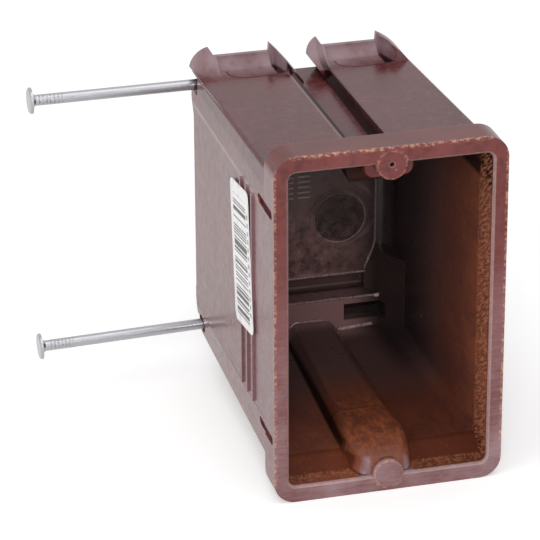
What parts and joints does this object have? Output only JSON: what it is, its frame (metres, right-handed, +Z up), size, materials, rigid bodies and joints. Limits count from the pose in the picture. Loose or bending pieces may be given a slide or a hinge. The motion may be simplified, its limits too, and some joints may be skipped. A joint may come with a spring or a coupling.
{
  "type": "new work outlet box",
  "caption": "Single-gang new-work outlet box moulded in brown phenolic, open at the front, with two steel nails held in its rear corners.",
  "frame": {"origin": "halfway between the two device-screw pilots, on the faces of their bosses in the mouth", "axes": "+X across the mouth towards the stud side, +Y from the mouth into the box, +Z up towards the cable entries"},
  "size_m": [0.103, 0.0833, 0.0924],
  "materials": {
    "phenolic": "satin, fibre filled",
    "nail_steel": "bright drawn",
    "label_paper": "coated"
  },
  "bodies": {
    "root": {"box_body": "phenolic", "upper_nail": "nail_steel", "lower_nail": "nail_steel", "label": "label_paper"}
  },
  "joints": []
}
